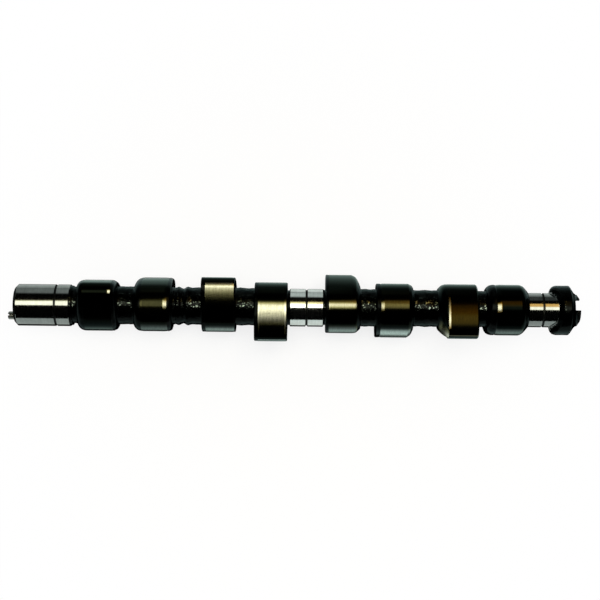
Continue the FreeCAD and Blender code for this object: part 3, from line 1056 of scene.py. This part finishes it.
# %% Start a material
def material(name):
    """A material with its Principled shader, and the helper for its tree."""
    made = bpy.data.materials.new(name)
    made.use_nodes = True
    shader = made.node_tree.nodes["Principled BSDF"]
    print("made the material", name)
    return made, Tree(made.node_tree), shader


def placed(tree, which, **values):
    """Places a node group in a material with its own values."""
    inputs = {title.replace("_", " "): value for title, value in values.items()}
    return tree.node("Group", inputs, node_tree=which).outputs


def metal(tree, shader, colour, roughness, height, depth):
    """Makes the shader a metal, with its colour, its roughness and its relief in millimetres."""
    relief = tree.node("Bump", {"Distance": depth * MM, "Height": height})
    tree.put(shader.inputs["Base Color"], colour)
    tree.put(shader.inputs["Roughness"], roughness)
    tree.put(shader.inputs["Normal"], relief.outputs[0])
    shader.inputs["Metallic"].default_value = 1.0


def attribute(tree, name):
    """A number that is stored on the mesh."""
    return tree.node("Attribute", attribute_name=name).outputs["Fac"]


print("ready for the finishes")

# %% [markdown]
# ## The rough black casting
# After machining, the whole shaft is dipped in hot phosphate and oil. The cast skin turns almost
# black and keeps a wet shine. Its small sparks are painted highlights: specks of brighter colour
# on the faces that look up at the lamp, as much as each ring's shine allows.

# %% Finish: cast skin
COAT_THICK = (0.0015, 0.0018, 0.0018, 1)
COAT_THIN = (0.005, 0.0055, 0.0052, 1)
PAINTED_SPARK = (0.15, 0.18, 0.16, 1)
WORN_IRON = (0.06, 0.062, 0.06, 1)

cast_skin, tree, shader = material("phosphated cast skin")
skin_grain = placed(tree, grain, Grain_size=1.3)
skin_patches = placed(tree, patches, Patch_size=9.0, Speck_size=1.3, Speck_edge=0.56)
skin_edges = placed(tree, worn, Amount=0.35)
colour = tree.blend(skin_patches["Patches"], COAT_THICK, COAT_THIN)
# Painted highlight: the sparks go only on faces that look up at the overhead lamp.
painted_spark_top = tree.spread(tree.facing("Z"), 0.85, 0.98)
sparks = tree.times(skin_patches["Specks"], painted_spark_top)
sparks = tree.times(sparks, attribute(tree, "shine"), clamp=True)
colour = tree.blend(sparks, colour, PAINTED_SPARK)
colour = tree.blend(skin_edges["Mask"], colour, WORN_IRON)
roughness = tree.spread(skin_patches["Patches"], 0.0, 1.0, 0.16, 0.24)
metal(tree, shader, colour, roughness, skin_grain["Height"], depth=0.05)
shader.inputs["Specular Tint"].default_value = (0.66, 0.72, 0.72, 1)

# %% [markdown]
# ## The bright ground journals
# A bearing journal is ground last and stays bare metal. Its base colour is the share of light
# that the metal gives back. The middle journal gives back more than the end ones, partly by its
# finish and partly as painted light for the brighter light over the middle. Very fine marks round
# the shaft break up the edge of each highlight.

# %% Finish: ground steel
UNLIT = (0.0, 0.0, 0.0, 1)
BARE_STEEL = (0.975, 1.0, 0.965, 1)

ground_steel, tree, shader = material("ground journal steel")
steel_marks = placed(tree, marks, Lines_per_mm=5.0, Waver=1.0)
steel_patches = placed(tree, patches, Patch_size=6.0)
shine = attribute(tree, "shine")
grey = tree.times(shine, tree.spread(steel_marks["Mask"], 0, 1, 0.9, 1.04))
grey = tree.times(grey, tree.spread(steel_patches["Patches"], 0, 1, 0.92, 1.04))
colour = tree.blend(grey, UNLIT, BARE_STEEL)
roughness = tree.spread(steel_marks["Mask"], 0, 1, 0.09, 0.13)
metal(tree, shader, colour, roughness, steel_marks["Height"], depth=0.006)

# %% [markdown]
# ## The cam tracks
# The cams are ground too, but before the dip, so they carry a dark coat. The mesh says how much
# metal shows, and in that way places painted highlights and painted reflections. Where metal
# shows, it looks like bare steel with an olive or brown film of oil and fine streaks round the
# cam. The brown is partly painted warm light, and a cool tint on the front is a painted reflection.

# %% Finish: cam track
OLIVE_FILM = (0.97, 0.93, 0.42, 1)
BROWN_FILM_AND_WARM_LIGHT = (1.0, 0.58, 0.0, 1)
PAINTED_HIGHLIGHT_CREAM = (1.0, 0.98, 0.78, 1)
PAINTED_COOL_REFLECTION = (0.86, 1.0, 0.95, 1)
TRACK_COAT = (0.0, 0.0008, 0.001, 1)

cam_track, tree, shader = material("dark cam track")
track_marks = placed(tree, marks, Lines_per_mm=2.2, Waver=3.0)
fine_marks = placed(tree, marks, Lines_per_mm=6.0, Waver=1.5)
track_patches = placed(tree, patches, Speck_size=0.9)
shine = attribute(tree, "shine")
# The tint browns the film. On the rear lobes this is partly an oil film and partly painted warm light.
film = tree.blend(attribute(tree, "tint"), OLIVE_FILM, BROWN_FILM_AND_WARM_LIGHT)
# Painted highlight: where the most metal shows, the film turns a pale cream.
film = tree.blend(tree.spread(shine, 0.06, 0.3), film, PAINTED_HIGHLIGHT_CREAM)
# Painted reflection: a cool tint on the faces that look to the front, towards the floor.
towards_front = tree.times(tree.facing("Y"), -1.0)
film = tree.blend(tree.spread(towards_front, 0.72, 0.9), film, PAINTED_COOL_REFLECTION)
shown = tree.times(shine, tree.spread(track_marks["Mask"], 0, 1, 0.82, 1.08))
shown = tree.times(shown, tree.spread(track_patches["Specks"], 0, 1, 1.0, 0.55))
colour = tree.blend(shown, TRACK_COAT, film)
roughness = tree.spread(shine, 0.03, 0.12, 0.16, 0.28)
metal(tree, shader, colour, roughness, fine_marks["Height"], depth=0.01)
shader.inputs["Specular Tint"].default_value = (0.76, 0.86, 0.83, 1)

# %% [markdown]
# ## Turned faces
# The end faces, the oil grooves, the thread and the drive slot are turned, drilled or milled.
# They are duller than ground metal, and the dip has darkened them to a deep grey.

# %% Finish: turned and milled faces
DIPPED_DARK = (0.008, 0.009, 0.009, 1)
DIPPED_PALE = (0.02, 0.02, 0.019, 1)
TOOL_MARK = (0.026, 0.027, 0.026, 1)

turned_face, tree, shader = material("turned and milled iron")
turned_marks = placed(tree, marks, Lines_per_mm=2.5, Waver=0.6, Across_faces=1.0)
turned_patches = placed(tree, patches, Patch_size=5.0)
colour = tree.blend(turned_patches["Patches"], DIPPED_DARK, DIPPED_PALE)
colour = tree.blend(turned_marks["Mask"], colour, TOOL_MARK)
roughness = tree.spread(turned_marks["Mask"], 0, 1, 0.3, 0.42)
metal(tree, shader, colour, roughness, turned_marks["Height"], depth=0.02)
shader.inputs["Specular Tint"].default_value = (0.5, 0.5, 0.5, 1)

# %% [markdown]
# ## The pin's spring steel
# Spring steel comes from its hardening bath with a dark blue-brown skin, a little brighter where
# it was rolled and cut.

# %% Finish: spring steel
BLUED = (0.2, 0.21, 0.2, 1)
BROWNED = (0.32, 0.32, 0.28, 1)
CUT_EDGE = (0.4, 0.39, 0.37, 1)

pin_steel, tree, shader = material("spring steel")
pin_patches = placed(tree, patches, Patch_size=2.5)
pin_edges = placed(tree, worn, Amount=0.7)
pin_marks = placed(tree, marks, Lines_per_mm=3.0, Waver=3.0)
colour = tree.blend(pin_patches["Patches"], BLUED, BROWNED)
colour = tree.blend(pin_edges["Mask"], colour, CUT_EDGE)
roughness = tree.spread(pin_marks["Mask"], 0, 1, 0.22, 0.34)
metal(tree, shader, colour, roughness, pin_marks["Height"], depth=0.008)

# %% Put the finishes on the pieces
finishes = {CAST: cast_skin, STEEL: ground_steel, TRACK: cam_track, TURNED: turned_face}
kept_skins = [0] * len(casting.data.polygons)
casting.data.polygons.foreach_get("material_index", kept_skins)
casting.data.materials.clear()
for number in sorted(finishes):
    casting.data.materials.append(finishes[number])
casting.data.polygons.foreach_set("material_index", kept_skins)
spring_pin.data.materials.append(pin_steel)
print("finishes:", [m.name for m in casting.data.materials])

# %% [markdown]
# ## The studio
# Polished metal has no look of its own, it shows the room. The photo's room can be read from the
# journals: a wide soft light overhead, darkness beside it, and pale paper near the horizon
# behind and all over the table. The soft box is a glowing cloth above the camera, narrower at
# its left end and warmer towards its rear edge, as the bands on the journals show. The world gives
# the paper behind and the dark of the room, and the camera itself sees plain white there.

# %% The soft box
LAMP_HEIGHT = 1.4
LAMP_HALF_LENGTH = 0.75
LAMP_FRONT = (-0.3, -0.18)
LAMP_REAR = (0.28, 1.0)
LAMP_GLOW = 4.6
WARM_FROM = (0.02, 0.47)
WARM_TO = (0.2, 0.7)
LEFT_TO_RIGHT = (-0.5, 0.5)
WARM_LEFT = (0.25, 0.23, 0.11, 1)
WARM_RIGHT = (0.6, 0.36, 0.1, 1)
CLOTH = (1.0, 0.985, 0.8, 1)
ON_PAPER = (0.94, 0.94, 0.94, 1)

sheet = bpy.data.meshes.new("soft_box")
sheet.from_pydata(
    [
        (-LAMP_HALF_LENGTH, LAMP_FRONT[0], 0),
        (LAMP_HALF_LENGTH, LAMP_FRONT[1], 0),
        (LAMP_HALF_LENGTH, LAMP_REAR[1], 0),
        (-LAMP_HALF_LENGTH, LAMP_REAR[0], 0),
    ],
    [],
    [(0, 3, 2, 1)],
)
soft_box = add_object("soft_box", sheet)
soft_box.location = (0, 0, LAMP_HEIGHT)
soft_box.visible_camera = False

cloth = bpy.data.materials.new("lamp cloth")
cloth.use_nodes = True
tree = Tree(cloth.node_tree)
cloth.node_tree.nodes.remove(cloth.node_tree.nodes["Principled BSDF"])
spot = tree.split(tree.coordinates())
rear_slope = (LAMP_REAR[1] - LAMP_REAR[0]) / (2 * LAMP_HALF_LENGTH)
rear_middle = sum(LAMP_REAR) / 2
rear_edge = tree.plus(tree.times(spot[0], rear_slope), rear_middle)
inside = tree.maths("SUBTRACT", rear_edge, spot[1])
warm_from = tree.spread(spot[0], *LEFT_TO_RIGHT, *WARM_FROM)
warm_to = tree.spread(spot[0], *LEFT_TO_RIGHT, *WARM_TO)
warm_tone = tree.spread(spot[0], -0.1, 0.5)
warm = tree.blend(warm_tone, WARM_LEFT, WARM_RIGHT)
colour = tree.blend(tree.spread(inside, warm_from, warm_to), warm, CLOTH)
on_paper = tree.node("LightPath").outputs["Is Diffuse Ray"]
colour = tree.blend(on_paper, colour, ON_PAPER)
glow = tree.node("Emission", {"Color": colour, "Strength": LAMP_GLOW})
tree.put(cloth.node_tree.nodes["Material Output"].inputs["Surface"], glow.outputs[0])
sheet.materials.append(cloth)
print("soft box ready")

# %% The room
PAPER = 0.68
PAPER_SIDE = 0.13
DARK = 0.0
FILL = 0.45
PAPER_IN_METAL = (0.88, 1.0, 0.97, 1)
PLAIN_WHITE = (1.0, 1.0, 1.0, 1)
PAPER_STARTS = (-0.45, -0.05)
PAPER_ENDS = (-0.02, 0.2)
PAPER_EDGE = (math.radians(52), math.radians(66))


def ray_kinds(tree):
    """What kind of ray is asking, and whether it comes from a metal."""
    path = tree.node("LightPath").outputs
    return path, tree.maths("MAXIMUM", path["Is Glossy Ray"], path["Is Transmission Ray"])


world = bpy.data.worlds.new("studio")
bpy.context.scene.world = world
world.use_nodes = True
tree = Tree(world.node_tree)
sky = world.node_tree.nodes["Background"]
direction = tree.split(tree.coordinates("Generated"))
lean = tree.maths("ARCTAN2", direction[1], direction[2])
paper_left = tree.spread(direction[0], *PAPER_STARTS, PAPER_SIDE, PAPER)
paper_right = tree.spread(direction[0], *PAPER_ENDS, 1.0, PAPER_SIDE)
paper_there = tree.times(paper_left, paper_right)
behind = tree.spread(lean, *PAPER_EDGE, DARK, paper_there)
path, seen_in_metal = ray_kinds(tree)
strength = tree.choose(seen_in_metal, FILL, behind)
tree.put(sky.inputs["Strength"], tree.choose(path["Is Camera Ray"], strength, 1.0))
tree.put(sky.inputs["Color"], tree.blend(seen_in_metal, PLAIN_WHITE, PAPER_IN_METAL))
print("world ready")

# %% [markdown]
# ## The floor
# The floor is plain white paper. Close to the shaft it is in part an ordinary matt surface, so
# it keeps a soft shadow. Further out it fades into an even white for the camera, and meets the
# white of the world without a horizon. In the shaft's reflections it has a painted shadow, black
# right below the shaft, and painted shade that makes it dimmer behind it.

# %% Make the floor
FLOOR_SIZE = 6.0
BACK_LEVEL = 0.45
BACK_REACH = 0.3
FLOOR_SEGMENTS = 96
SHADOW_REACH = (0.05, 0.3)
GLOW_NEAR = 0.78
PAINTED_SHADOW_STRIP = (0.028, 0.036)
FIBRES = ((0.88, 0.885, 0.9, 1), (0.895, 0.9, 0.915, 1))

floor_mesh = bpy.data.meshes.new("paper_floor")
build = bmesh.new()
bmesh.ops.create_circle(build, cap_ends=True, radius=FLOOR_SIZE, segments=FLOOR_SEGMENTS)
build.to_mesh(floor_mesh)
build.free()
floor = add_object("paper_floor", floor_mesh)

paper, tree, shader = material("white paper")
fibres = tree.noise(tree.in_millimetres(), 0.02, 2.0, 0.5)
tree.put(shader.inputs["Base Color"], tree.blend(fibres, *FIBRES))
shader.inputs["Roughness"].default_value = 0.95
shader.inputs["Specular IOR Level"].default_value = 0.0
even = tree.spread(tree.length(tree.coordinates()), *SHADOW_REACH, GLOW_NEAR, 1.0)
path, in_metal = ray_kinds(tree)
glow_colour = tree.blend(in_metal, PLAIN_WHITE, PAPER_IN_METAL)
back = tree.split(tree.coordinates())[1]
# Painted shadow: seen in the metal, the floor is black in a strip along the shaft, and painted shade dims
# it behind.
from_shaft = tree.spread(tree.maths("ABSOLUTE", back), *PAINTED_SHADOW_STRIP)
dimmer = tree.times(tree.spread(back, 0.0, BACK_REACH, 1.0, BACK_LEVEL), from_shaft)
strength = tree.choose(path["Is Camera Ray"], dimmer, 1.0)
glow = tree.node("Emission", {"Color": glow_colour, "Strength": strength})
reflected = tree.maths("MAXIMUM", tree.times(even, from_shaft), tree.maths("SUBTRACT", 1.0, from_shaft))
glowing = tree.choose(path["Is Camera Ray"], tree.times(in_metal, reflected), even)
mix = tree.node("MixShader", {0: glowing, 1: shader.outputs[0], 2: glow.outputs[0]})
tree.put(paper.node_tree.nodes["Material Output"].inputs["Surface"], mix.outputs[0])
floor_mesh.materials.append(paper)
print("floor ready")

# %% The overhead light
OVERHEAD_HEIGHT = 2.2
OVERHEAD_SIZE = 1.6
OVERHEAD_WATTS = 31.0

overhead_data = bpy.data.lights.new("overhead", "AREA")
overhead_data.shape = "DISK"
overhead_data.size = OVERHEAD_SIZE
overhead_data.energy = OVERHEAD_WATTS
overhead = add_object("overhead", overhead_data)
overhead.location = (0, 0, OVERHEAD_HEIGHT)
overhead.visible_glossy = False
print("overhead light ready")

# %% [markdown]
# ## Last steps
# The colours are shown without a film look, so that a colour renders as it is written.

# %% Show colours plainly and finish
bpy.context.scene.view_settings.view_transform = "Standard"
bpy.context.view_layer.update()
